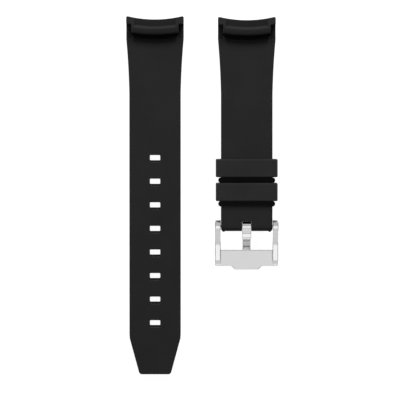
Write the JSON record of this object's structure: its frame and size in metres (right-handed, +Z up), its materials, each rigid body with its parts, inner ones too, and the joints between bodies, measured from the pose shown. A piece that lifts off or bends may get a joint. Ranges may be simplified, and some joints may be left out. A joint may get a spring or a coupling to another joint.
{
  "type": "watch strap",
  "caption": "Rubber watch strap halves with hollow curved lug ends, a slotted tapered tail, rubber keepers and a steel pin buckle on a spring bar.",
  "frame": {"origin": "on the table under the middle of the pair, halfway between the lug corners and the long half's tip", "axes": "+Y along both halves toward their lug ends, +Z up from the table toward the inner faces, +X from the long half to the short half"},
  "size_m": [0.053, 0.125, 0.0112],
  "materials": {
    "strap_rubber": "matt moulded",
    "keeper_rubber": "matt moulded",
    "brushed_steel": "fine brushed",
    "polished_steel": "polished"
  },
  "bodies": {
    "short_half": {"short_strap": "strap_rubber", "fixed_keeper": "keeper_rubber"},
    "long_half": {"long_strap": "strap_rubber"},
    "sliding_keeper": {"free_keeper": "keeper_rubber"},
    "buckle": {"buckle_frame": "brushed_steel", "bar_barrel": "polished_steel", "bar_spring": "polished_steel"},
    "tang": {"buckle_tang": "polished_steel"},
    "left_plunger": {"bar_plunger_left": "polished_steel"},
    "right_plunger": {"bar_plunger_right": "polished_steel"}
  },
  "joints": [
    {"name": "long_half_lift", "type": "slide", "parent": "short_half", "child": "long_half", "axis": [0, 0, 1], "range_m": [0, 0.03]},
    {"name": "free_keeper_slide", "type": "slide", "parent": "short_half", "child": "sliding_keeper", "axis": [0, 1, 0], "range_m": [0, 0.024]},
    {"name": "buckle_swing", "type": "hinge", "parent": "short_half", "child": "buckle", "pos_m": [0.01544, -0.0107, 0.0066], "axis": [-1, 0, 0], "range_deg": [-30, 110]},
    {"name": "tang_swing", "type": "hinge", "parent": "buckle", "child": "tang", "pos_m": [0.01544, -0.0107, 0.0066], "axis": [1, 0, 0], "range_deg": [0, 60]},
    {"name": "left_plunger_press", "type": "slide", "parent": "buckle", "child": "left_plunger", "axis": [1, 0, 0], "range_m": [0, 0.0011], "stiffness_N_per_m": 300, "springref_m": -0.002, "deforming": ["bar_spring"]},
    {"name": "right_plunger_press", "type": "slide", "parent": "buckle", "child": "right_plunger", "axis": [-1, 0, 0], "range_m": [0, 0.0011], "stiffness_N_per_m": 300, "springref_m": -0.002, "deforming": ["bar_spring"]}
  ]
}
